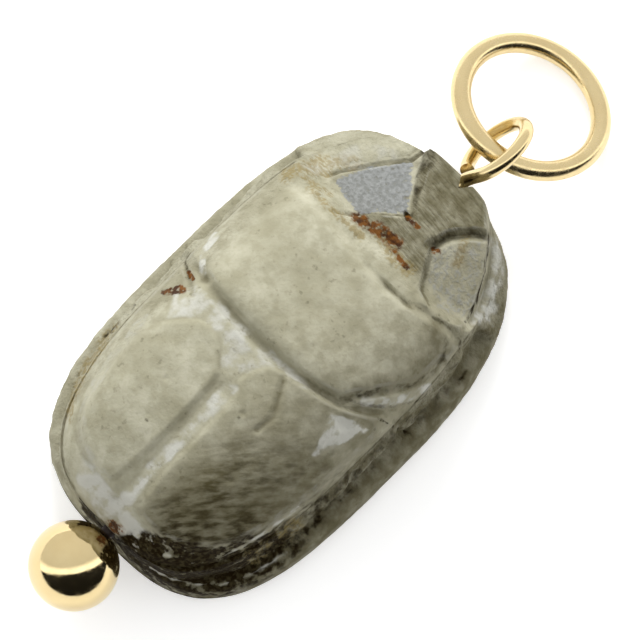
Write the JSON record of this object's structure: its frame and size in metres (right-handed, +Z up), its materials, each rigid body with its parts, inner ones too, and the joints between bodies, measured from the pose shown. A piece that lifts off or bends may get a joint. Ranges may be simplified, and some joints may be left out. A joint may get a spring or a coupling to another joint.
{
  "type": "scarab amulet",
  "caption": "Carved pale stone beetle amulet on an oval base, pierced lengthwise by a gold pin with a stop ball and an eye that carries a jump ring.",
  "frame": {"origin": "middle of the stone's flat underside", "axes": "+Y towards the head, along the pin; +Z up through the carved back; +X across"},
  "size_m": [0.0138, 0.0339, 0.0088],
  "materials": {
    "pale_stone": "worn pale soft stone with dirt in its carving",
    "yellow_gold": null
  },
  "bodies": {
    "root": {"scarab": "pale_stone", "stop_ball": "yellow_gold", "eye_pin": "yellow_gold", "jump_ring": "yellow_gold"}
  },
  "joints": []
}
